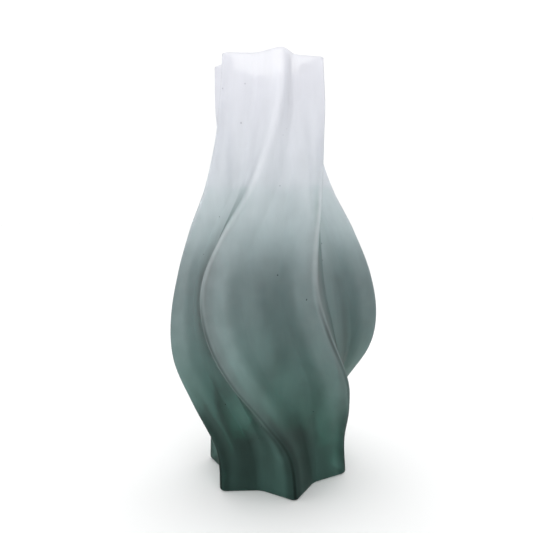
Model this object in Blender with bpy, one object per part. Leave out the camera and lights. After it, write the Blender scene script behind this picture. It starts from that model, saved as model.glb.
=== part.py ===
"""Six-lobed blown art-glass vase whose flutes sway to one side at the belly and back again at the rim.

The wall is cased glass, three gathers laid over each other and modelled as three closed solids:
a clear outer casing with the ground foot, a green layer that is thick at the heel and thins out
towards the shoulder, and a clear inner lining that holds the water.  Metres, +Z up, the origin at
the centre of the foot.
"""

import math

import bmesh
import bpy

# Driving dimensions
HEIGHT = 0.300
LOBES = 6
CASING_WALL = 0.0013
LINING_WALL = 0.0011
LAYER_GAP = 0.0003
COLOUR_WALL_AT_HEEL = 0.0016
COLOUR_WALL_AT_EDGE = 0.0005

# Floors, from the foot up, and the solid glass that the heel leaves in the tips of the lobes
CASING_FLOOR = 0.0020
HEEL_THICKNESS = 0.0088
LINING_FLOOR = 0.0016
BOWL_RISE = 0.012
SOLID_TIP = 0.006
SOLID_TIP_LOW = 0.020
SOLID_TIP_HIGH = 0.078

# Roundings
RIDGE_RADIUS = 0.0035
CAVITY_RIDGE_RADIUS = 0.0040
CREASE_RADIUS = 0.006
FOOT_BEVEL = 0.0020
RIM_BEVEL = 0.0006

# How finely the solids are faceted
WALL_RINGS = 24
COLOUR_RINGS = 17
RIDGE_STEPS = 2
CREASE_STEPS = 1
FACE_STEPS = 2
BOWL_STEPS = 3

# The green layer ends at a ring of the wall, and its place in the wall closes up by the next ring
COLOUR_TOP = HEIGHT * COLOUR_RINGS / WALL_RINGS
COLOUR_FADE = HEIGHT / WALL_RINGS

# The outside at equal steps up from the foot: the radius of the ridges, the radius of the valleys,
# half the width of a valley's flat floor, and the angle in degrees by which the ridges are swung
# round.  The swing runs one way up to the belly and back again above it.
STATIONS = (
    (0.0540, 0.0405, 0.0020, 14.0),
    (0.0545, 0.0385, 0.0040, 10.5),
    (0.0640, 0.0450, 0.0080, -6.0),
    (0.0750, 0.0540, 0.0130, -22.0),
    (0.0770, 0.0570, 0.0140, -33.5),
    (0.0720, 0.0535, 0.0125, -38.0),
    (0.0610, 0.0440, 0.0085, -31.0),
    (0.0490, 0.0335, 0.0040, -15.5),
    (0.0435, 0.0295, 0.0025, -0.5),
    (0.0420, 0.0290, 0.0020, 10.0),
    (0.0405, 0.0280, 0.0020, 13.5),
)


def station(height):
    """Ridge radius, valley radius, half floor width and swing at a height, on a smooth curve."""
    last = len(STATIONS) - 1
    place = min(max(height / HEIGHT, 0.0), 1.0) * last
    i = min(int(place), last - 1)
    t = place - i
    rows = [STATIONS[min(max(k, 0), last)] for k in range(i - 1, i + 3)]
    ridge, valley, floor, swing = (
        b + t / 2 * (c - a + t * (2 * a - 5 * b + 4 * c - d + t * (3 * (b - c) + d - a)))
        for a, b, c, d in zip(*rows)
    )
    return ridge, valley, floor, math.radians(swing)


def arc(before, corner, after, radius, steps):
    """The points of a corner of this radius, between the straight lines to its two neighbours."""
    to_before = math.atan2(before[1] - corner[1], before[0] - corner[0])
    to_after = math.atan2(after[1] - corner[1], after[0] - corner[0])
    opening = (to_after - to_before + math.pi) % (2 * math.pi) - math.pi
    middle = to_before + opening / 2
    reach = radius / math.sin(abs(opening) / 2)
    centre = (corner[0] + reach * math.cos(middle), corner[1] + reach * math.sin(middle))
    sweep = math.copysign(math.pi - abs(opening), opening)
    start = middle + math.pi + sweep / 2
    return [
        (
            centre[0] + radius * math.cos(start - sweep * i / steps),
            centre[1] + radius * math.sin(start - sweep * i / steps),
        )
        for i in range(steps + 1)
    ]


def lobe(ridge, valley, floor, inset, ridge_radius):
    """One lobe's outline about its own ridge at angle 0, moved in by inset from the lines given."""
    half = math.pi / LOBES
    edge = (
        valley * math.cos(half) + floor * math.sin(half),
        valley * math.sin(half) - floor * math.cos(half),
    )
    lean = math.atan2(edge[1], ridge - edge[0])
    point = ridge + RIDGE_RADIUS * (1 / math.sin(lean) - 1)
    lean = math.atan2(edge[1], point - edge[0])
    bend = math.pi / 2 - half - lean
    point -= inset / math.sin(lean)
    valley -= inset
    floor += inset * math.tan(bend / 2)
    edge = (
        valley * math.cos(half) + floor * math.sin(half),
        valley * math.sin(half) - floor * math.cos(half),
    )
    floor_middle = (valley * math.cos(half), valley * math.sin(half))
    tip = arc((edge[0], -edge[1]), (point, 0), edge, ridge_radius, RIDGE_STEPS)
    crease = arc((point, 0), edge, floor_middle, CREASE_RADIUS, CREASE_STEPS)
    face = [
        tuple(a + (b - a) * i / FACE_STEPS for a, b in zip(tip[-1], crease[0]))
        for i in range(1, FACE_STEPS)
    ]
    rising = [(x, -y) for x, y in reversed(face + crease)]
    return rising + tip + face + crease


def ring(height, surface, at=None, scale=1.0):
    """A surface's whole outline at a height of the wall, scaled about the axis and set down at at."""
    ridge, valley, floor, swing = station(height)
    inset, solid_tip, ridge_radius = surface(height)
    points = []
    for k in range(LOBES):
        turn = swing + 2 * math.pi * k / LOBES - math.pi / 2
        for x, y in lobe(ridge - solid_tip, valley, floor, inset, ridge_radius):
            points.append(
                (
                    scale * (x * math.cos(turn) - y * math.sin(turn)),
                    scale * (x * math.sin(turn) + y * math.cos(turn)),
                    height if at is None else at,
                )
            )
    return points


def heights(low, high):
    """The heights of a wall's rings, which are the same for every layer between its two ends."""
    step = HEIGHT / WALL_RINGS
    inner = [i * step for i in range(1, WALL_RINGS) if low + step / 3 < i * step < high - step / 3]
    return [low] + inner + [high]


def bowl(floor, surface):
    """Rings of a rounded floor, from its middle out to where the wall starts."""
    rings = []
    for i in range(1, BOWL_STEPS + 1):
        angle = math.pi / 2 * i / (BOWL_STEPS + 1)
        at = floor + BOWL_RISE * (1 - math.cos(angle))
        rings.append(ring(floor + BOWL_RISE, surface, at, math.sin(angle)))
    return rings


def wall(low, high, surface):
    return [ring(height, surface) for height in heights(low, high)]


def loft(name, rings, material):
    """One closed solid through rings of equally many points, with a flat cap on the first and the last."""
    mesh = bpy.data.meshes.new(name)
    shape = bmesh.new()
    loops = [[shape.verts.new(point) for point in points] for points in rings]
    count = len(loops[0])
    for first, second in zip(loops, loops[1:]):
        # Layers that touch have their diagonals on the same side, so that the gap stays even.
        low, high = (first, second) if first[0].co.z <= second[0].co.z else (second, first)
        for i in range(count):
            j = (i + 1) % count
            shape.faces.new((low[i], low[j], high[j]))
            shape.faces.new((low[i], high[j], high[i]))
    shape.faces.new(loops[0])
    shape.faces.new(loops[-1])
    bmesh.ops.recalc_face_normals(shape, faces=shape.faces)
    bmesh.ops.triangulate(shape, faces=shape.faces)
    shape.to_mesh(mesh)
    shape.free()
    mesh.shade_smooth()
    mesh.set_sharp_from_angle(angle=math.radians(40))
    mesh.materials.append(material)
    piece = bpy.data.objects.new(name, mesh)
    bpy.context.scene.collection.objects.link(piece)
    return piece


def glass(name, colour, roughness, clearness):
    """A glass of this colour: rougher where it is etched, and clearer where it lets more light through."""
    material = bpy.data.materials.new(name)
    material.use_nodes = True
    shader = material.node_tree.nodes["Principled BSDF"]
    shader.inputs["Base Color"].default_value = (*colour, 1)
    shader.inputs["Roughness"].default_value = roughness
    shader.inputs["Metallic"].default_value = 0.0
    shader.inputs["IOR"].default_value = 1.5
    shader.inputs["Transmission Weight"].default_value = clearness
    return material


def smooth_step(share):
    share = min(max(share, 0.0), 1.0)
    return share * share * (3 - 2 * share)


def colour_wall(height):
    """How thick the green layer is, thinning from the heel to its edge, and the room it takes above."""
    if height <= COLOUR_TOP:
        share = 1 - height / COLOUR_TOP
        return COLOUR_WALL_AT_EDGE + (COLOUR_WALL_AT_HEEL - COLOUR_WALL_AT_EDGE) * share
    return COLOUR_WALL_AT_EDGE * (1 - smooth_step((height - COLOUR_TOP) / COLOUR_FADE))


def solid_tip(height):
    """How much further in a lobe's tip lies inside the heel than the walls alone would put it."""
    return SOLID_TIP * smooth_step((SOLID_TIP_HIGH - height) / (SOLID_TIP_HIGH - SOLID_TIP_LOW))


# The surfaces between the layers, from outside in.  Each gives, at a height, how far it lies in from
# the outside, how much further in its ridges lie, and the radius of its ridges.
def casing_outside(height):
    return 0, 0, RIDGE_RADIUS


def casing_inside(height):
    return CASING_WALL, 0, RIDGE_RADIUS


def colour_outside(height):
    return CASING_WALL + LAYER_GAP, 0, RIDGE_RADIUS


def colour_inside(height):
    return CASING_WALL + LAYER_GAP + colour_wall(height), solid_tip(height), CAVITY_RIDGE_RADIUS


def lining_outside(height):
    return colour_inside(height)[0] + LAYER_GAP, solid_tip(height), CAVITY_RIDGE_RADIUS


def lining_inside(height):
    return lining_outside(height)[0] + LINING_WALL, solid_tip(height), CAVITY_RIDGE_RADIUS


def outer_casing():
    """The clear outer gather: the whole etched outside, the ground foot and the polished rim."""
    foot = ring(0, lambda height: (FOOT_BEVEL, 0, RIDGE_RADIUS))
    outside = wall(FOOT_BEVEL, HEIGHT - RIM_BEVEL, casing_outside)
    rim = ring(HEIGHT, lambda height: (RIM_BEVEL, 0, RIDGE_RADIUS))
    floor = bowl(CASING_FLOOR, casing_inside)
    inside = floor + wall(CASING_FLOOR + BOWL_RISE, HEIGHT, casing_inside)
    rings = [foot] + outside + [rim] + inside[::-1]
    return loft("outer_casing", rings, glass("clear_etched_glass", (0.82, 0.85, 0.87), 0.45, 0.9))


def colour_layer():
    """The green gather: a solid heel under the bowl, and a wall that thins towards the shoulder."""
    low = CASING_FLOOR + LAYER_GAP
    outside = bowl(low, colour_outside) + wall(low + BOWL_RISE, COLOUR_TOP, colour_outside)
    high = low + HEEL_THICKNESS
    inside = bowl(high, colour_inside) + wall(high + BOWL_RISE, COLOUR_TOP, colour_inside)
    return loft("green_layer", outside + inside[::-1], glass("green_glass", (0.06, 0.17, 0.14), 0.1, 0.8))


def inner_lining():
    """The clear inner gather, from the bottom of the bowl to the rim."""
    low = CASING_FLOOR + HEEL_THICKNESS + 2 * LAYER_GAP
    outside = bowl(low, lining_outside) + wall(low + BOWL_RISE, HEIGHT, lining_outside)
    high = low + LINING_FLOOR
    inside = bowl(high, lining_inside) + wall(high + BOWL_RISE, HEIGHT, lining_inside)
    material = glass("clear_lining_glass", (0.9, 0.92, 0.92), 0.3, 0.9)
    return loft("inner_lining", outside + inside[::-1], material)


def main():
    for thing in list(bpy.data.objects):
        bpy.data.objects.remove(thing)
    outer_casing()
    colour_layer()
    inner_lining()


main()
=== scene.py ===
"""The look of the swaying, six-lobed cased-glass vase: fine meshes for its three layers of glass
and the seeds in them, their materials, a pale studio floor, soft light and the camera.

Metres, +Z up, the middle of the foot at 0 and the photographed side towards -Y.
"""

import math
import random

import bmesh
import bpy
from mathutils import Matrix, Vector

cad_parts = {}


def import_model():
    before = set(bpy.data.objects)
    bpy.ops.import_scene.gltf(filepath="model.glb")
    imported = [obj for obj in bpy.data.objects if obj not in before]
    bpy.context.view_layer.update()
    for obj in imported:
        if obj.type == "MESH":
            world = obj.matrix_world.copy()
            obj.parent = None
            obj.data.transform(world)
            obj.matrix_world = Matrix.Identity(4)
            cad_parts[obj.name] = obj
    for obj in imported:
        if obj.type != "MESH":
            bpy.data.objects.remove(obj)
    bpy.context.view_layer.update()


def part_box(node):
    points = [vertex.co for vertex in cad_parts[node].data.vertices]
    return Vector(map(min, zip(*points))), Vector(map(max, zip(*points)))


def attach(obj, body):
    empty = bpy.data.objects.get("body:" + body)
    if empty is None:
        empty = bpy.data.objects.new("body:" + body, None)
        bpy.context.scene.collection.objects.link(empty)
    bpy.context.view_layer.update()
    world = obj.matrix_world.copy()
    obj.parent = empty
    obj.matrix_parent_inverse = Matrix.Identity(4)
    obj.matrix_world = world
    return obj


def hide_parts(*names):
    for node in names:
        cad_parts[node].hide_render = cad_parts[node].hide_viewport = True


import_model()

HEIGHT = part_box("outer_casing")[1][2]
MM = HEIGHT / 300.0

# The outside at equal steps up from the foot: ridge radius, valley radius and half the width of a
# valley's floor, in 300ths of the height, and the swing of the ridges in degrees.
LOBES = 6
STATIONS = (
    (54.0, 40.5, 2.0, 14.0),
    (54.5, 38.5, 4.0, 10.5),
    (64.0, 45.0, 8.0, -6.0),
    (75.0, 54.0, 13.0, -22.0),
    (77.0, 57.0, 14.0, -33.5),
    (72.0, 53.5, 12.5, -38.0),
    (61.0, 44.0, 8.5, -31.0),
    (49.0, 33.5, 4.0, -15.5),
    (43.5, 29.5, 2.5, -0.5),
    (42.0, 29.0, 2.0, 10.0),
    (40.5, 28.0, 2.0, 13.5),
)

# The layers, as in the CAD
CASING_WALL = 1.3 * MM
LINING_WALL = 1.1 * MM
LAYER_GAP = 0.3 * MM
COLOUR_WALL_AT_HEEL = 1.6 * MM
COLOUR_WALL_AT_EDGE = 0.5 * MM
COLOUR_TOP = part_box("green_layer")[1][2]
COLOUR_FADE = 12.5 * MM
CASING_FLOOR = 2.0 * MM
HEEL_THICKNESS = 8.8 * MM
LINING_FLOOR = 1.6 * MM
BOWL_RISE = 12 * MM
SOLID_TIP = 6.0 * MM
SOLID_TIP_LOW = 20 * MM
SOLID_TIP_HIGH = 78 * MM
RIDGE_RADIUS = 3.5 * MM
CREASE_RADIUS = 6.0 * MM
CAVITY_RIDGE_RADIUS = 4.0 * MM
FOOT_ROUND = 2.2 * MM
RIM_ROUND = 0.9 * MM
LIP_ROUND = 0.7 * MM

# How fine the meshes are
WALL_RINGS = 120
TIP_STEPS = 6
CREASE_STEPS = 5
FACE_STEPS = 5
BOWL_STEPS = 14
EDGE_STEPS = 4
SEED_SUBDIVISIONS = 2
# Edges that turn by more degrees than this are drawn sharp
SHARP_FROM = 50


def smooth_step(share):
    """0 up to a share of 0, 1 from a share of 1, and a smooth curve between."""
    share = min(max(share, 0.0), 1.0)
    return share * share * (3 - 2 * share)


def station(height):
    """Ridge radius, valley radius, half floor width and swing at a height, on a smooth curve."""
    last = len(STATIONS) - 1
    place = min(max(height / HEIGHT, 0.0), 1.0) * last
    i = min(int(place), last - 1)
    t = place - i
    rows = [STATIONS[min(max(k, 0), last)] for k in range(i - 1, i + 3)]
    ridge, valley, floor, swing = (
        b + t / 2 * (c - a + t * (2 * a - 5 * b + 4 * c - d + t * (3 * (b - c) + d - a)))
        for a, b, c, d in zip(*rows)
    )
    return ridge * MM, valley * MM, floor * MM, math.radians(swing)


def arc(before, corner, after, radius, steps):
    """The points of a corner of this radius, between the straight lines to its two neighbours."""
    to_before = math.atan2(before[1] - corner[1], before[0] - corner[0])
    to_after = math.atan2(after[1] - corner[1], after[0] - corner[0])
    opening = (to_after - to_before + math.pi) % (2 * math.pi) - math.pi
    middle = to_before + opening / 2
    reach = radius / math.sin(abs(opening) / 2)
    centre = (corner[0] + reach * math.cos(middle), corner[1] + reach * math.sin(middle))
    sweep = math.copysign(math.pi - abs(opening), opening)
    start = middle + math.pi + sweep / 2
    return [
        (
            centre[0] + radius * math.cos(start - sweep * i / steps),
            centre[1] + radius * math.sin(start - sweep * i / steps),
        )
        for i in range(steps + 1)
    ]


def lobe(ridge, valley, floor, inset, ridge_radius):
    """One lobe's outline about its own ridge at angle 0, moved in by inset from the lines given."""
    half = math.pi / LOBES
    edge = (
        valley * math.cos(half) + floor * math.sin(half),
        valley * math.sin(half) - floor * math.cos(half),
    )
    lean = math.atan2(edge[1], ridge - edge[0])
    point = ridge + RIDGE_RADIUS * (1 / math.sin(lean) - 1)
    lean = math.atan2(edge[1], point - edge[0])
    bend = math.pi / 2 - half - lean
    point -= inset / math.sin(lean)
    valley -= inset
    floor += inset * math.tan(bend / 2)
    edge = (
        valley * math.cos(half) + floor * math.sin(half),
        valley * math.sin(half) - floor * math.cos(half),
    )
    floor_middle = (valley * math.cos(half), valley * math.sin(half))
    tip = arc((edge[0], -edge[1]), (point, 0), edge, ridge_radius, TIP_STEPS)
    crease = arc((point, 0), edge, floor_middle, CREASE_RADIUS, CREASE_STEPS)
    face = [
        tuple(a + (b - a) * i / FACE_STEPS for a, b in zip(tip[-1], crease[0]))
        for i in range(1, FACE_STEPS)
    ]
    rising = [(x, -y) for x, y in reversed(face + crease)]
    return rising + tip + face + crease


def ring(height, surface, at=None, scale=1.0):
    """A surface's whole outline at a height of the wall, scaled about the axis, and moved to the
    height at if that is given."""
    ridge, valley, floor, swing = station(height)
    inset, solid_tip, ridge_radius = surface(height)
    points = []
    for k in range(LOBES):
        turn = swing + 2 * math.pi * k / LOBES - math.pi / 2
        for x, y in lobe(ridge - solid_tip, valley, floor, inset, ridge_radius):
            points.append(
                (
                    scale * (x * math.cos(turn) - y * math.sin(turn)),
                    scale * (x * math.sin(turn) + y * math.cos(turn)),
                    height if at is None else at,
                )
            )
    return points


def wall(low, high, surface):
    """Rings up a wall at heights that every layer shares between its two ends."""
    step = HEIGHT / WALL_RINGS
    shared = (i * step for i in range(1, WALL_RINGS))
    inner = [height for height in shared if low + step / 3 < height < high - step / 3]
    return [ring(height, surface) for height in [low] + inner + [high]]


def bowl(floor, surface):
    """Rings of a rounded floor, from its middle out to where the wall starts."""
    rings = []
    for i in range(1, BOWL_STEPS + 1):
        angle = math.pi / 2 * i / (BOWL_STEPS + 1)
        at = floor + BOWL_RISE * (1 - math.cos(angle))
        rings.append(ring(floor + BOWL_RISE, surface, at, math.sin(angle)))
    return rings


def colour_wall(height):
    """How thick the green layer is, thinning from the heel to its edge, and above that edge how
    much room is still left for it while the lining moves out to the casing."""
    if height <= COLOUR_TOP:
        share = 1 - height / COLOUR_TOP
        return COLOUR_WALL_AT_EDGE + (COLOUR_WALL_AT_HEEL - COLOUR_WALL_AT_EDGE) * share
    return COLOUR_WALL_AT_EDGE * (1 - smooth_step((height - COLOUR_TOP) / COLOUR_FADE))


def solid_tip(height):
    """How much further in a lobe's tip lies inside the heel than the walls alone would put it."""
    return SOLID_TIP * smooth_step((SOLID_TIP_HIGH - height) / (SOLID_TIP_HIGH - SOLID_TIP_LOW))


# Each surface of a layer at a height: how far in from the outside it lies, how much further in its
# lobes' tips lie, and the radius of its ridges


def casing_outside(height):
    return 0, 0, RIDGE_RADIUS


def casing_inside(height):
    return CASING_WALL, 0, RIDGE_RADIUS


def colour_outside(height):
    return CASING_WALL + LAYER_GAP, 0, RIDGE_RADIUS


def colour_inside(height):
    return CASING_WALL + LAYER_GAP + colour_wall(height), solid_tip(height), CAVITY_RIDGE_RADIUS


def lining_outside(height):
    return colour_inside(height)[0] + LAYER_GAP, solid_tip(height), CAVITY_RIDGE_RADIUS


def lining_inside(height):
    return lining_outside(height)[0] + LINING_WALL, solid_tip(height), CAVITY_RIDGE_RADIUS


def edge_rings(height, round_by, surface, upwards, side=1):
    """Rings round an edge between the wall and a level face, from the wall if upwards, else to it.

    side is 1 for an edge that faces away from the axis and -1 for one that faces it.
    """
    rings = []
    inset, tip, radius = surface(height)
    for i in range(1, EDGE_STEPS + 1):
        angle = math.pi / 2 * i / EDGE_STEPS
        further = side * round_by * (1 - math.cos(angle))
        drop = round_by * (1 - math.sin(angle))
        at = height - drop if upwards else height + drop
        rings.append(ring(at, lambda _: (inset + further, tip, radius)))
    return rings if upwards else rings[::-1]


def skin(name, rings, seams=()):
    """One closed smooth mesh through rings of equally many points, capped at its two ends.

    seams maps the number of a ring to the material of the faces from there on.
    """
    mesh = bpy.data.meshes.new(name)
    shape = bmesh.new()
    loops = [[shape.verts.new(point) for point in points] for points in rings]
    count = len(loops[0])
    starts = dict(seams)
    slot = 0
    for number, (first, second) in enumerate(zip(loops, loops[1:])):
        slot = starts.get(number, slot)
        for i in range(count):
            j = (i + 1) % count
            face = shape.faces.new((first[i], first[j], second[j], second[i]))
            face.material_index = slot
    for number, loop in ((0, loops[0]), (len(loops) - 1, loops[-1])):
        face = shape.faces.new(loop)
        face.material_index = 0 if number == 0 else slot
    bmesh.ops.recalc_face_normals(shape, faces=shape.faces)
    bmesh.ops.triangulate(shape, faces=[face for face in shape.faces if len(face.verts) > 4])
    shape.to_mesh(mesh)
    shape.free()
    mesh.shade_smooth()
    mesh.set_sharp_from_angle(angle=math.radians(SHARP_FROM))
    piece = bpy.data.objects.new(name, mesh)
    bpy.context.scene.collection.objects.link(piece)
    return piece


def mark_lobes(piece):
    """Stores two numbers on each point: how far out it lies, from 0 in the valleys to 1 on the
    ridges, and which flank of a lobe it is on, from -1 on the left one to 1 on the right one."""
    mesh = piece.data
    ridges = mesh.attributes.new("ridge", "FLOAT", "POINT")
    flanks = mesh.attributes.new("flank", "FLOAT", "POINT")
    for point, out, flank in zip(mesh.vertices, ridges.data, flanks.data):
        ridge, valley, _, swing = station(point.co.z)
        out.value = (math.hypot(point.co.x, point.co.y) - valley) / (ridge - valley)
        around = math.atan2(point.co.y, point.co.x) + math.pi / 2 - swing
        flank.value = math.sin(LOBES * around)


# --- Materials ---------------------------------------------------------------------------------


def new_material(name):
    """A material with an empty node tree, and that tree."""
    material = bpy.data.materials.new(name)
    material.use_nodes = True
    material.node_tree.nodes.clear()
    return material, material.node_tree


def add(tree, kind, **settings):
    """A new node with these settings."""
    node = tree.nodes.new(kind)
    for key, value in settings.items():
        setattr(node, key, value)
    return node


# The colour that a wall passes at each share of the height. All pairs below are a share of the
# height and a value there, unless their comment says otherwise.
OMBRE = (
    (0.00, (0.074, 0.150, 0.130)),
    (0.12, (0.062, 0.124, 0.108)),
    (0.24, (0.048, 0.092, 0.085)),
    (0.36, (0.034, 0.068, 0.066)),
    (0.46, (0.028, 0.058, 0.060)),
    (0.53, (0.040, 0.082, 0.086)),
    (0.60, (0.245, 0.320, 0.335)),
    (0.68, (0.530, 0.575, 0.608)),
    (0.80, (0.720, 0.735, 0.785)),
    (1.00, (0.760, 0.756, 0.810)),
)
# The colour of the light that the etched skin scatters, and how much of it, on the lobes' faces and
# in the valleys between them, where less of it is painted shade
HAZE_COLOUR = (
    (0.00, (0.150, 0.320, 0.275)),
    (0.12, (0.175, 0.340, 0.295)),
    (0.24, (0.400, 0.570, 0.540)),
    (0.36, (0.600, 0.760, 0.765)),
    (0.60, (0.770, 0.815, 0.845)),
    (1.00, (0.840, 0.840, 0.895)),
)
HAZE_ON_FACE = (
    (0.00, 0.22),
    (0.12, 0.22),
    (0.24, 0.22),
    (0.50, 0.19),
    (0.65, 0.40),
    (1.00, 0.70),
)
VALLEY_HAZE_WITH_PAINTED_SHADE = (
    (0.00, 0.18),
    (0.12, 0.14),
    (0.24, 0.07),
    (0.50, 0.12),
    (0.65, 0.33),
    (1.00, 0.66),
)
# How far the haze has come from the painted shade of the valley to the face, by "ridge", which is
# how far out it is
FACE_PROFILE = (
    (0.00, 0.00),
    (0.26, 0.05),
    (0.38, 0.35),
    (0.50, 0.78),
    (0.70, 0.95),
    (1.00, 1.00),
)
# The photographed light falls unevenly on a lobe's two flanks. These stand in for part of that, on
# every lobe alike. They are halves of a factor, because a ramp ends at 1, and FLANK_FROM to
# FLANK_TO is where on "flank" the left one turns into the right one.
FLANK_FROM, FLANK_TO = -0.4, 0.8
LEFT_FLANK = (
    (0.00, 0.66),
    (0.15, 0.66),
    (0.24, 0.58),
    (0.35, 0.40),
    (0.50, 0.46),
    (0.65, 0.50),
)
RIGHT_FLANK = (
    (0.00, 0.38),
    (0.15, 0.32),
    (0.24, 0.50),
    (0.35, 0.74),
    (0.50, 0.62),
    (0.65, 0.48),
)
# A painted highlight along the very ridge: more haze there, by the height
RIDGE_FROM = 0.93
PAINTED_RIDGE_HIGHLIGHT = (
    (0.00, 0.00),
    (0.30, 0.00),
    (0.48, 0.10),
    (0.64, 0.24),
    (0.85, 0.03),
    (1.00, 0.00),
)
# Where the tips of the lobes are solid and so darker: how far out, and up to which share of the
# height
SOLID_FROM, SOLID_TO = 0.50, 0.95
SOLID_FULL, SOLID_NONE = 0.13, 0.25
SOLID_SHADE = 0.45
# The thin painted dark outline along the very ridge, and up to which share of the height it goes
EDGE_FROM = 0.95
EDGE_FULL, EDGE_NONE = 0.38, 0.55
EDGE_SHADE = 0.25
# There, at these glancing angles, the painted dark outline covers the glass and its reflection
EDGE_GLANCING = (0.50, 0.85)
# The scatter fades where the glass is seen at a glancing angle, through more of its colour
GLANCING_FROM, GLANCING_TO = 0.60, 1.00
GLANCING_LEFT = 0.4
# The etched skin's grain and patches, the faint marks of blowing and the streaks in the colour
ETCH_PIT = 1.0 * MM
ETCH_DEPTH = 0.01 * MM
ETCH_STRENGTH = 0.5
ETCH_PATCH = 9 * MM
PATCH_DEPTH = 0.10
DRAW_MARK = 2.2 * MM
DRAW_STRETCH = 14.0
DRAW_DEPTH = 0.02 * MM
DRAW_STRENGTH = 0.6
STREAK = 7 * MM
STREAK_STRETCH = 6.0
STREAK_DEPTH = 0.10
NOISE_LOW, NOISE_HIGH = 0.25, 0.75
# How blurred the etched glass is
BLUR = (
    (0.00, 0.34),
    (0.15, 0.36),
    (0.32, 0.50),
    (1.00, 0.60),
)
# How strongly the glass bends light. Real glass is at about 1.5, and these are lower, so that the
# joined layers act as one wall.
ETCHED_IOR = 1.10
LINING_IOR = 1.18
# The thin sheen over the etched skin, and how blurred the lining's smooth inside is
SHEEN, SHEEN_BLUR, SHEEN_IOR = 0.08, 0.3, 1.5
LINING_BLUR = 0.12
# The green gather's own colour and how strongly it takes light away, per metre
GREEN = (0.26, 0.62, 0.52)
GREEN_DENSITY = 200.0
# The seeds' skins: their colour as a part of the glass's, and their blur
SEED_DARKEST, SEED_LIGHTEST = 0.70, 0.90
SEED_BLUR = 0.35


def share_of_height(tree):
    """A socket that runs from 0 at the foot to 1 at the rim."""
    place = add(tree, "ShaderNodeTexCoord")
    split = add(tree, "ShaderNodeSeparateXYZ")
    share = add(tree, "ShaderNodeMath", operation="MULTIPLY")
    share.inputs[1].default_value = 1 / HEIGHT
    tree.links.new(place.outputs["Object"], split.inputs[0])
    tree.links.new(split.outputs["Z"], share.inputs[0])
    return share.outputs[0]


def ramp_of(tree, factor, stops, between="B_SPLINE"):
    """A ramp over factor through stops of a place and a colour, by default on a smooth curve."""
    ramp = add(tree, "ShaderNodeValToRGB")
    ramp.color_ramp.interpolation = between
    elements = ramp.color_ramp.elements
    for at, colour in stops[1:-1]:
        elements.new(at).color = (*colour, 1)
    for i in (0, -1):
        elements[i].position = stops[i][0]
        elements[i].color = (*stops[i][1], 1)
    tree.links.new(factor, ramp.inputs["Fac"])
    return ramp.outputs["Color"]


def scaled(tree, colour, factor):
    """A colour times a factor."""
    node = add(tree, "ShaderNodeVectorMath", operation="SCALE")
    tree.links.new(colour, node.inputs[0])
    tree.links.new(factor, node.inputs["Scale"])
    return node.outputs[0]


def greys(stops):
    """Stops of a place and a value, as stops of a place and a grey."""
    return [(at, (value, value, value)) for at, value in stops]


def rise(tree, factor, low, high, first=0.0, last=1.0):
    """A socket that goes smoothly from first, where factor is low, to last, where it is high."""
    node = add(tree, "ShaderNodeMapRange", interpolation_type="SMOOTHSTEP")
    ends = {"From Min": low, "From Max": high, "To Min": first, "To Max": last}
    for name, value in ends.items():
        node.inputs[name].default_value = value
    tree.links.new(factor, node.inputs["Value"])
    return node.outputs[0]


def combine(tree, operation, first, *others):
    """The sockets joined one after another by a maths operation."""
    for other in others:
        node = add(tree, "ShaderNodeMath", operation=operation)
        tree.links.new(first, node.inputs[0])
        tree.links.new(other, node.inputs[1])
        first = node.outputs[0]
    return first


def attribute(tree, name):
    """One of the numbers that mark_lobes stored."""
    return add(tree, "ShaderNodeAttribute", attribute_name=name).outputs["Fac"]


def haze(tree, share, ridge, bias, patches, edge):
    """How much light the skin scatters: least in the valleys, as painted shade, and most along the
    ridges, as a painted highlight. Low on the ridges and at glancing angles it is all film, as a
    painted dark outline.
    """
    faces = add(tree, "ShaderNodeMix", data_type="FLOAT")
    link = tree.links.new
    link(ramp_of(tree, ridge, greys(FACE_PROFILE), "LINEAR"), faces.inputs["Factor"])
    link(ramp_of(tree, share, greys(VALLEY_HAZE_WITH_PAINTED_SHADE)), faces.inputs["A"])
    link(ramp_of(tree, share, greys(HAZE_ON_FACE)), faces.inputs["B"])
    # A painted highlight along the very ridge, strongest a little above the middle
    on_ridge = rise(tree, ridge, RIDGE_FROM, 1.0)
    ridge_highlight = combine(tree, "MULTIPLY", on_ridge, ramp_of(tree, share, greys(PAINTED_RIDGE_HIGHLIGHT)))
    facing = add(tree, "ShaderNodeLayerWeight").outputs["Facing"]
    seen = rise(tree, facing, GLANCING_FROM, GLANCING_TO, 1.0, GLANCING_LEFT)
    amount = combine(tree, "ADD", faces.outputs[0], ridge_highlight)
    amount = combine(tree, "MULTIPLY", amount, seen, patches, bias)
    # The painted dark outline: on the low ridges at glancing angles the dark film takes over
    thick = combine(tree, "MULTIPLY", edge, rise(tree, facing, *EDGE_GLANCING))
    return combine(tree, "MAXIMUM", amount, thick)


def flank_bias(tree, share):
    """How the two flanks of a lobe differ in light, as a factor of about 1."""
    flank = attribute(tree, "flank")
    bias = add(tree, "ShaderNodeMix", data_type="FLOAT")
    tree.links.new(rise(tree, flank, FLANK_FROM, FLANK_TO), bias.inputs["Factor"])
    tree.links.new(ramp_of(tree, share, greys(LEFT_FLANK)), bias.inputs["A"])
    tree.links.new(ramp_of(tree, share, greys(RIGHT_FLANK)), bias.inputs["B"])
    double = add(tree, "ShaderNodeMath", operation="MULTIPLY")
    double.inputs[1].default_value = 2.0
    tree.links.new(bias.outputs[0], double.inputs[0])
    return double.outputs[0]


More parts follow.
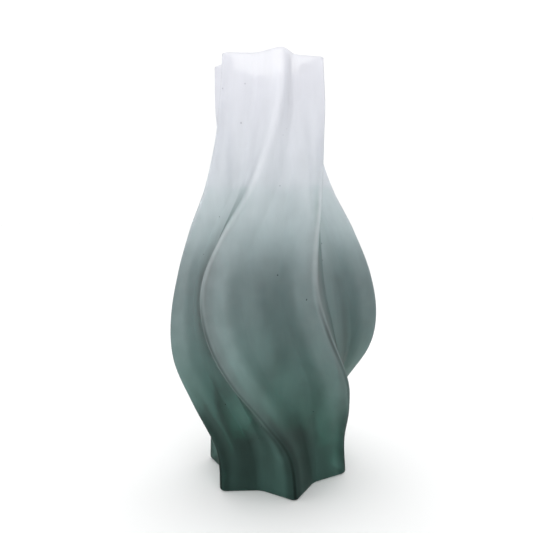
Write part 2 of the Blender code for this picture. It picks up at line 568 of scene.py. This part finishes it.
def cloud(tree, size, stretch, detail, low, high):
    """A patchy socket between low and high, its patches of this size and stretch times as tall."""
    place = add(tree, "ShaderNodeTexCoord")
    grid = add(tree, "ShaderNodeMapping")
    grid.inputs["Scale"].default_value = (1 / size, 1 / size, 1 / (size * stretch))
    noise = add(tree, "ShaderNodeTexNoise")
    noise.inputs["Scale"].default_value = 1.0
    noise.inputs["Detail"].default_value = detail
    tree.links.new(place.outputs["Object"], grid.inputs["Vector"])
    tree.links.new(grid.outputs["Vector"], noise.inputs["Vector"])
    return rise(tree, noise.outputs["Fac"], NOISE_LOW, NOISE_HIGH, low, high)


def relief(tree, height, depth, strength):
    """A bump node over a height socket."""
    bump = add(tree, "ShaderNodeBump")
    bump.inputs["Distance"].default_value = depth
    bump.inputs["Strength"].default_value = strength
    tree.links.new(height, bump.inputs["Height"])
    return bump


def etch_grain(tree):
    """The relief of the etched skin: fine pits over faint draw marks from the blowing."""
    pits = cloud(tree, ETCH_PIT, 1.0, detail=2.0, low=0.0, high=1.0)
    marks = cloud(tree, DRAW_MARK, DRAW_STRETCH, detail=2.0, low=0.0, high=1.0)
    fine = relief(tree, pits, ETCH_DEPTH, ETCH_STRENGTH)
    wide = relief(tree, marks, DRAW_DEPTH, DRAW_STRENGTH)
    tree.links.new(fine.outputs["Normal"], wide.inputs["Normal"])
    return wide.outputs["Normal"]


def etched_glass():
    """The casing's etched skin: glass and the film of scatter over it. It also carries the colour
    of the whole wall, from dark green at the foot to nearly clear at the rim."""
    # Parts of the colour and scatter below are painted light, painted shade and a painted highlight
    material, tree = new_material("etched_clear_glass")
    link = tree.links.new
    share = share_of_height(tree)
    ridge = attribute(tree, "ridge")
    tip = rise(tree, ridge, SOLID_FROM, SOLID_TO)
    solid = combine(tree, "MULTIPLY", tip, rise(tree, share, SOLID_FULL, SOLID_NONE, 1.0, 0.0))
    # A painted dark outline along the very ridge, low on the vase
    line = rise(tree, ridge, EDGE_FROM, 1.0)
    edge = combine(tree, "MULTIPLY", line, rise(tree, share, EDGE_FULL, EDGE_NONE, 1.0, 0.0))
    solid_shade = rise(tree, solid, 0.0, 1.0, 1.0, SOLID_SHADE)
    edge_shade = rise(tree, edge, 0.0, 1.0, 1.0, EDGE_SHADE)
    shade = combine(tree, "MULTIPLY", solid_shade, edge_shade)
    bias = flank_bias(tree, share)
    spread = {"low": 1 - STREAK_DEPTH, "high": 1 + STREAK_DEPTH}
    streaks = cloud(tree, STREAK, STREAK_STRETCH, detail=3.0, **spread)
    spread = {"low": 1 - PATCH_DEPTH, "high": 1 + PATCH_DEPTH}
    patches = cloud(tree, ETCH_PATCH, 1.0, detail=4.0, **spread)
    # Darker solid tips, the painted dark outline, streaks and the flanks' painted light
    tint_and_painted_light = combine(tree, "MULTIPLY", shade, streaks, bias)
    blur = combine(tree, "MULTIPLY", ramp_of(tree, share, greys(BLUR)), patches)
    normal = etch_grain(tree)
    glass = add(tree, "ShaderNodeBsdfPrincipled")
    link(scaled(tree, ramp_of(tree, share, OMBRE), tint_and_painted_light), glass.inputs["Base Color"])
    link(blur, glass.inputs["Roughness"])
    link(normal, glass.inputs["Normal"])
    glass.inputs["IOR"].default_value = ETCHED_IOR
    glass.inputs["Transmission Weight"].default_value = 1.0
    glass.inputs["Coat Weight"].default_value = SHEEN
    glass.inputs["Coat Roughness"].default_value = SHEEN_BLUR
    glass.inputs["Coat IOR"].default_value = SHEEN_IOR
    film = add(tree, "ShaderNodeBsdfDiffuse")
    link(scaled(tree, ramp_of(tree, share, HAZE_COLOUR), shade), film.inputs["Color"])
    link(normal, film.inputs["Normal"])
    mix = add(tree, "ShaderNodeMixShader")
    link(haze(tree, share, ridge, bias, patches, edge), mix.inputs[0])
    link(glass.outputs[0], mix.inputs[1])
    link(film.outputs[0], mix.inputs[2])
    out = add(tree, "ShaderNodeOutputMaterial")
    link(mix.outputs[0], out.inputs["Surface"])
    return material


def fused_joint(name="fused_joint", colour=None, density=0.0):
    """Where one layer of glass is melted onto the next: light goes straight through."""
    material, tree = new_material(name)
    out = add(tree, "ShaderNodeOutputMaterial")
    shader = add(tree, "ShaderNodeBsdfTransparent")
    tree.links.new(shader.outputs[0], out.inputs["Surface"])
    if colour:
        absorb = add(tree, "ShaderNodeVolumeAbsorption")
        absorb.inputs["Color"].default_value = (*colour, 1)
        absorb.inputs["Density"].default_value = density
        tree.links.new(absorb.outputs[0], out.inputs["Volume"])
    return material


def clear_glass():
    """The inside of the lining, as smooth as it left the pipe."""
    material, tree = new_material("clear_glass")
    out = add(tree, "ShaderNodeOutputMaterial")
    shader = add(tree, "ShaderNodeBsdfPrincipled")
    shader.inputs["Base Color"].default_value = (1, 1, 1, 1)
    shader.inputs["Roughness"].default_value = LINING_BLUR
    shader.inputs["IOR"].default_value = LINING_IOR
    shader.inputs["Transmission Weight"].default_value = 1.0
    tree.links.new(shader.outputs[0], out.inputs["Surface"])
    return material


def seed_skin():
    """The skin of a seed, darker than the glass round it."""
    material, tree = new_material("seed_skin")
    out = add(tree, "ShaderNodeOutputMaterial")
    shader = add(tree, "ShaderNodeBsdfPrincipled")
    share = share_of_height(tree)
    patches = cloud(tree, STREAK, 1.0, detail=2.0, low=SEED_DARKEST, high=SEED_LIGHTEST)
    colour = scaled(tree, ramp_of(tree, share, OMBRE), patches)
    tree.links.new(colour, shader.inputs["Base Color"])
    shader.inputs["Roughness"].default_value = SEED_BLUR
    tree.links.new(shader.outputs[0], out.inputs["Surface"])
    return material


# --- The three layers --------------------------------------------------------------------------


def etched_casing():
    """The outer layer, with the rounded foot, the rim and the etched skin."""
    outside = edge_rings(0, FOOT_ROUND, casing_outside, upwards=False)
    outside += wall(FOOT_ROUND, HEIGHT - RIM_ROUND, casing_outside)
    outside += edge_rings(HEIGHT, RIM_ROUND, casing_outside, upwards=True)
    inside = bowl(CASING_FLOOR, casing_inside)
    inside += wall(CASING_FLOOR + BOWL_RISE, HEIGHT, casing_inside)
    piece = skin("etched_casing", outside + inside[::-1], {len(outside): 1})
    mark_lobes(piece)
    piece.data.materials.append(etched_glass())
    piece.data.materials.append(fused_joint())
    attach(piece, "root")
    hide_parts("outer_casing")


def green_gather():
    """The green layer, thick in the heel and thinning to its edge."""
    low = CASING_FLOOR + LAYER_GAP
    high = low + HEEL_THICKNESS
    outside = bowl(low, colour_outside) + wall(low + BOWL_RISE, COLOUR_TOP, colour_outside)
    inside = bowl(high, colour_inside) + wall(high + BOWL_RISE, COLOUR_TOP, colour_inside)
    piece = skin("green_gather", outside + inside[::-1])
    piece.data.materials.append(fused_joint("green_glass", GREEN, GREEN_DENSITY))
    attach(piece, "root")
    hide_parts("green_layer")


def clear_lining():
    """The inner layer, with the rounded inner lip of the rim, which is etched like the outside."""
    low = CASING_FLOOR + HEEL_THICKNESS + 2 * LAYER_GAP
    high = low + LINING_FLOOR
    outside = bowl(low, lining_outside) + wall(low + BOWL_RISE, HEIGHT, lining_outside)
    inside = bowl(high, lining_inside) + wall(high + BOWL_RISE, HEIGHT - LIP_ROUND, lining_inside)
    inside += edge_rings(HEIGHT, LIP_ROUND, lining_inside, upwards=True, side=-1)
    lip, smooth = len(outside) - 1, len(outside) + EDGE_STEPS
    piece = skin("clear_lining", outside + inside[::-1], {lip: 1, smooth: 2})
    mark_lobes(piece)
    piece.data.materials.append(fused_joint())
    piece.data.materials.append(bpy.data.materials["etched_clear_glass"])
    piece.data.materials.append(clear_glass())
    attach(piece, "root")
    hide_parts("inner_lining")


# Seeds, the tiny bubbles of hand-blown glass: how many, between which shares of the height, their
# radius, how much taller than wide they may be, how far they stand out of the etched skin, and the
# number that fixes their random places
SEEDS = 36
SEED_ZONE = (0.08, 0.94)
SEED_RADIUS = (0.35 * MM, 0.80 * MM)
SEED_TALLER = (1.0, 1.6)
SEED_PROUD = 0.10 * MM
SEED_CHOICE = 7
# The seeds that the photograph shows: share of the height and angle from the front, to the right
SEEN_SEEDS = ((0.933, -29.8), (0.850, -33.5), (0.516, -0.2), (0.190, 36.4))


def turned_by(point, angle):
    """How far round the axis a point lies from an angle."""
    return abs((math.atan2(point.y, point.x) - angle + math.pi) % (2 * math.pi) - math.pi)


def glass_seeds():
    """Tiny bubbles that just break the etched skin, each a closed ball flattened against it."""
    pick = random.Random(SEED_CHOICE)
    places = [(share, math.radians(angle) - math.pi / 2) for share, angle in SEEN_SEEDS]
    while len(places) < SEEDS:
        places.append((pick.uniform(*SEED_ZONE), pick.uniform(-math.pi, math.pi)))
    balls = bmesh.new()
    for share, angle in places:
        outline = [Vector(point) for point in ring(share * HEIGHT, casing_outside)]
        at = min(range(len(outline)), key=lambda i: turned_by(outline[i], angle))
        before, here, after = (outline[(at + step) % len(outline)] for step in (-1, 0, 1))
        along = (after - before).normalized()
        outwards = Vector((along.y, -along.x, 0))
        radius = pick.uniform(*SEED_RADIUS)
        middle = here - outwards * (radius / 2 - SEED_PROUD)
        turn = Matrix((along, outwards, Vector((0, 0, 1)))).transposed().to_4x4()
        shape = Matrix.Diagonal((radius, radius / 2, radius * pick.uniform(*SEED_TALLER), 1))
        place = Matrix.Translation(middle) @ turn @ shape
        bmesh.ops.create_icosphere(
            balls, subdivisions=SEED_SUBDIVISIONS, radius=1, matrix=place
        )
    mesh = bpy.data.meshes.new("glass_seeds")
    balls.to_mesh(mesh)
    balls.free()
    mesh.shade_smooth()
    piece = bpy.data.objects.new("glass_seeds", mesh)
    bpy.context.scene.collection.objects.link(piece)
    piece.data.materials.append(seed_skin())
    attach(piece, "root")


# --- The studio --------------------------------------------------------------------------------

# The floor: its side in metres, its colour and its blur
FLOOR_SIDE = 12.0
PAPER = (0.95, 0.95, 0.95)
PAPER_BLUR = 0.9


def floor():
    """The plain pale floor."""
    bpy.ops.mesh.primitive_plane_add(size=FLOOR_SIDE, location=(0, 0, 0))
    piece = bpy.context.object
    piece.name = "floor"
    material, tree = new_material("floor_paper")
    out = add(tree, "ShaderNodeOutputMaterial")
    shader = add(tree, "ShaderNodeBsdfPrincipled")
    shader.inputs["Base Color"].default_value = (*PAPER, 1)
    shader.inputs["Roughness"].default_value = PAPER_BLUR
    tree.links.new(shader.outputs[0], out.inputs["Surface"])
    piece.data.materials.append(material)


# Which way the world is brightest, how far round the change goes, and how bright it is
SKY_TOWARDS = (0.0, 0.9, 0.44)
SKY_FROM, SKY_TO = 0.0, 0.72
SKY_DIM, SKY_BRIGHT = 0.25, 1.04


def world():
    """Bright behind the vase and overhead, and dimmer at its sides and on the camera's side."""
    sky = bpy.data.worlds.new("studio")
    bpy.context.scene.world = sky
    sky.use_nodes = True
    tree = sky.node_tree
    place = add(tree, "ShaderNodeTexCoord")
    towards = add(tree, "ShaderNodeVectorMath", operation="DOT_PRODUCT")
    towards.inputs[1].default_value = SKY_TOWARDS
    tree.links.new(place.outputs["Generated"], towards.inputs[0])
    strength = rise(tree, towards.outputs["Value"], SKY_FROM, SKY_TO, SKY_DIM, SKY_BRIGHT)
    tree.links.new(strength, tree.nodes["Background"].inputs["Strength"])
    tree.nodes["Background"].inputs["Color"].default_value = (1, 1, 1, 1)


# Softboxes: name, azimuth to the right of the camera, elevation, distance and size in heights of
# the vase, and watts
SOFTBOXES = (
    ("front", 10, 20, 4.5, (5.0, 4.0), 7.5),
    ("left", -75, 0, 4.5, (2.5, 2.5), 4.5),
)
# The light from straight above, in watts per square metre and degrees of spread
CEILING_STRENGTH = 1.4
CEILING_SPREAD = 120
# How often light may bounce, enough for the many walls of glass behind one another
MOST_BOUNCES = 48
MOST_THROUGH_GLASS = 40
MOST_GLOSSY = 16
MOST_STRAIGHT_THROUGH = 64


def softboxes():
    """Rectangular lights that all face the middle of the vase."""
    for name, azimuth, elevation, away, size, watts in SOFTBOXES:
        data = bpy.data.lights.new(name, "AREA")
        data.shape = "RECTANGLE"
        data.size, data.size_y = (side * HEIGHT for side in size)
        data.energy = watts
        thing = bpy.data.objects.new(name, data)
        bpy.context.scene.collection.objects.link(thing)
        az, el = math.radians(azimuth), math.radians(elevation)
        level = math.cos(el)
        towards = Vector((math.sin(az) * level, -math.cos(az) * level, math.sin(el)))
        middle = Vector((0, 0, HEIGHT / 2))
        thing.location = middle + towards * away * HEIGHT
        thing.rotation_euler = towards.to_track_quat("Z", "Y").to_euler()


def ceiling():
    """Wide soft light from straight above."""
    data = bpy.data.lights.new("ceiling", "SUN")
    data.energy = CEILING_STRENGTH
    data.angle = math.radians(CEILING_SPREAD)
    thing = bpy.data.objects.new("ceiling", data)
    bpy.context.scene.collection.objects.link(thing)


def exposure():
    """Plain colour, and enough bounces for the glass."""
    bpy.context.scene.view_settings.view_transform = "Standard"
    cycles = bpy.context.scene.cycles
    cycles.max_bounces = MOST_BOUNCES
    cycles.transmission_bounces = MOST_THROUGH_GLASS
    cycles.glossy_bounces = MOST_GLOSSY
    cycles.transparent_max_bounces = MOST_STRAIGHT_THROUGH


# The camera: how far away and how high it is in heights of the vase, how far it looks down and is
# rolled in degrees, its sensor and lens in millimetres, its shift as a share of the picture, and
# the nearest that it sees in metres
CAMERA_AWAY = 1.321
CAMERA_UP = 0.671
CAMERA_DOWN = 6.75
CAMERA_ROLL = 1.15
CAMERA_SENSOR = 36
CAMERA_LENS = 36.45
CAMERA_SHIFT = -0.0097
CAMERA_NEAR = 0.01


def camera():
    """In front of the vase and a little above its middle, at the photograph's angle."""
    data = bpy.data.cameras.new("camera")
    data.sensor_width = CAMERA_SENSOR
    data.lens = CAMERA_LENS
    data.shift_x = CAMERA_SHIFT
    data.clip_start = CAMERA_NEAR
    thing = bpy.data.objects.new("camera", data)
    bpy.context.scene.collection.objects.link(thing)
    place = Matrix.Translation((0, -CAMERA_AWAY * HEIGHT, CAMERA_UP * HEIGHT))
    tilt = Matrix.Rotation(math.radians(90 - CAMERA_DOWN), 4, "X")
    roll = Matrix.Rotation(math.radians(-CAMERA_ROLL), 4, "Z")
    thing.matrix_world = place @ tilt @ roll
    bpy.context.scene.camera = thing


etched_casing()
green_gather()
clear_lining()
glass_seeds()
floor()
world()
softboxes()
ceiling()
exposure()
camera()
bpy.context.view_layer.update()
